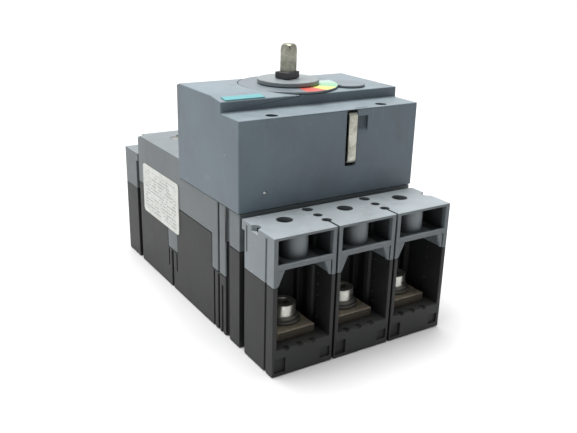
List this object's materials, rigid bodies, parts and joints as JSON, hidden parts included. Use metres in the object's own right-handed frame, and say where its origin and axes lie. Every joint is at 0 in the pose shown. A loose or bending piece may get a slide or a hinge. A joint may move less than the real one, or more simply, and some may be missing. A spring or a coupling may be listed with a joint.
{
  "type": "moulded-case circuit breaker",
  "caption": "Moulded-case circuit breaker with open screw terminals at both ends and a boxed rotary operator with a square drive shaft on its front.",
  "frame": {"origin": "middle of the panel face, under the bounding box's centre", "axes": "+Z out of the panel towards the front, +Y from the line end to the load end, +X across the poles"},
  "size_m": [0.1058, 0.1854, 0.1433],
  "materials": {
    "black_base": "moulded, slightly dusty satin",
    "blue_grey_housing": "fine spark-eroded satin",
    "pale_grey_cover": "satin",
    "grey_dial": "satin with printed red, yellow and green sectors",
    "black_plastic": "satin",
    "zinc_shaft": "zinc plated, scuffed",
    "zinc_strap": "yellowed zinc plate",
    "zinc_terminal_screw": "zinc plated",
    "zinc_steel": "zinc plated",
    "dark_steel": "plain rolled",
    "tarnished_copper": "tin-plated copper, tarnished",
    "cream_plastic": "satin",
    "red_button": "satin",
    "teal_strip": "plain printed strip",
    "white_label": "printed film with plain grey bars"
  },
  "bodies": {
    "case": {"base": "black_base", "cover": "blue_grey_housing", "operator_housing": "blue_grey_housing", "line_terminal_cover": "pale_grey_cover", "load_terminal_cover": "blue_grey_housing", "indicator_plate": "grey_dial", "trip_unit": "black_plastic", "line_terminal_screw_1": "zinc_terminal_screw", "line_terminal_screw_2": "zinc_terminal_screw", "line_terminal_screw_3": "zinc_terminal_screw", "load_terminal_screw_1": "zinc_terminal_screw", "load_terminal_screw_2": "zinc_terminal_screw", "load_terminal_screw_3": "zinc_terminal_screw", "operator_screw_left": "zinc_steel", "operator_screw_right": "zinc_steel", "cover_screw_1": "zinc_steel", "cover_screw_2": "zinc_steel", "cover_screw_3": "zinc_steel", "cover_screw_4": "zinc_steel", "locating_pin": "zinc_steel", "lever_pivot_pin": "zinc_steel", "latch_pin": "zinc_steel", "mechanism_frame": "dark_steel", "operator_base_plate": "dark_steel", "arc_chute_1": "dark_steel", "arc_chute_2": "dark_steel", "arc_chute_3": "dark_steel", "line_conductor_1": "tarnished_copper", "line_conductor_2": "tarnished_copper", "line_conductor_3": "tarnished_copper", "load_conductor_1": "tarnished_copper", "load_conductor_2": "tarnished_copper", "load_conductor_3": "tarnished_copper", "flexible_lead_1": "tarnished_copper", "flexible_lead_2": "tarnished_copper", "flexible_lead_3": "tarnished_copper", "current_transformer_1": "cream_plastic", "current_transformer_2": "cream_plastic", "current_transformer_3": "cream_plastic", "nameplate_strip": "teal_strip", "side_label": "white_label"},
    "rotary_drive": {"drive_shaft": "zinc_shaft", "shaft_collar": "black_plastic", "rotor_disc": "grey_dial", "drive_cam": "dark_steel"},
    "drive_carriage": {"drive_carriage": "zinc_steel"},
    "toggle_lever": {"toggle_lever": "black_plastic", "main_spring_left": "zinc_steel", "main_spring_right": "zinc_steel"},
    "contact_rotor": {"contact_crossbar": "black_plastic", "contact_arm_1": "tarnished_copper", "contact_arm_2": "tarnished_copper", "contact_arm_3": "tarnished_copper"},
    "padlock_bracket": {"padlock_bracket": "zinc_strap"},
    "trip_button": {"trip_button": "red_button", "trip_button_spring": "zinc_steel"},
    "trip_bar": {"trip_bar": "cream_plastic"},
    "latch": {"latch": "zinc_steel"},
    "overload_dial": {"overload_dial": "cream_plastic"},
    "short_circuit_dial": {"short_circuit_dial": "cream_plastic"}
  },
  "joints": [
    {"name": "drive_shaft_turn", "type": "hinge", "parent": "case", "child": "rotary_drive", "pos_m": [0, -0.01775, 0.13], "axis": [0, 0, 1], "range_deg": [-45, 45]},
    {"name": "carriage_slide", "type": "slide", "parent": "case", "child": "drive_carriage", "axis": [0, 1, 0], "range_m": [-0.0107, 0.0107]},
    {"name": "toggle_swing", "type": "hinge", "parent": "case", "child": "toggle_lever", "pos_m": [0, -0.01775, 0.046], "axis": [1, 0, 0], "range_deg": [-13.2, 13.2]},
    {"name": "contact_swing", "type": "hinge", "parent": "case", "child": "contact_rotor", "pos_m": [0, -0.00475, 0.026], "axis": [-1, 0, 0], "range_deg": [-18.1, 18.1]},
    {"name": "padlock_bracket_slide", "type": "slide", "parent": "case", "child": "padlock_bracket", "axis": [0, -1, 0], "range_m": [0, 0.018]},
    {"name": "trip_button_push", "type": "slide", "parent": "case", "child": "trip_button", "axis": [0, 0, -1], "range_m": [0, 0.0018], "stiffness_N_per_m": 400, "springref_m": -0.002, "deforming": ["trip_button_spring"]},
    {"name": "trip_bar_turn", "type": "hinge", "parent": "case", "child": "trip_bar", "pos_m": [0, 0.01125, 0.057], "axis": [-1, 0, 0], "range_deg": [0, 24.5]},
    {"name": "latch_turn", "type": "hinge", "parent": "case", "child": "latch", "pos_m": [0, -0.00075, 0.05], "axis": [1, 0, 0], "range_deg": [0, 11]},
    {"name": "overload_dial_turn", "type": "hinge", "parent": "case", "child": "overload_dial", "pos_m": [-0.014, 0.03725, 0.0805], "axis": [0, 0, 1], "range_deg": [-120, 120]},
    {"name": "short_circuit_dial_turn", "type": "hinge", "parent": "case", "child": "short_circuit_dial", "pos_m": [0.006, 0.03725, 0.0805], "axis": [0, 0, 1], "range_deg": [-120, 120]}
  ],
  "couplings": [
    {"joint": "carriage_slide", "follows": "drive_shaft_turn", "m_per_rad": 0.013505},
    {"joint": "toggle_swing", "follows": "drive_shaft_turn", "ratio": -0.29042},
    {"joint": "contact_swing", "follows": "drive_shaft_turn", "ratio": 0.4},
    {"joint": "trip_bar_turn", "follows": "trip_button_push", "rad_per_m": 233},
    {"joint": "latch_turn", "follows": "trip_button_push", "rad_per_m": 100}
  ]
}
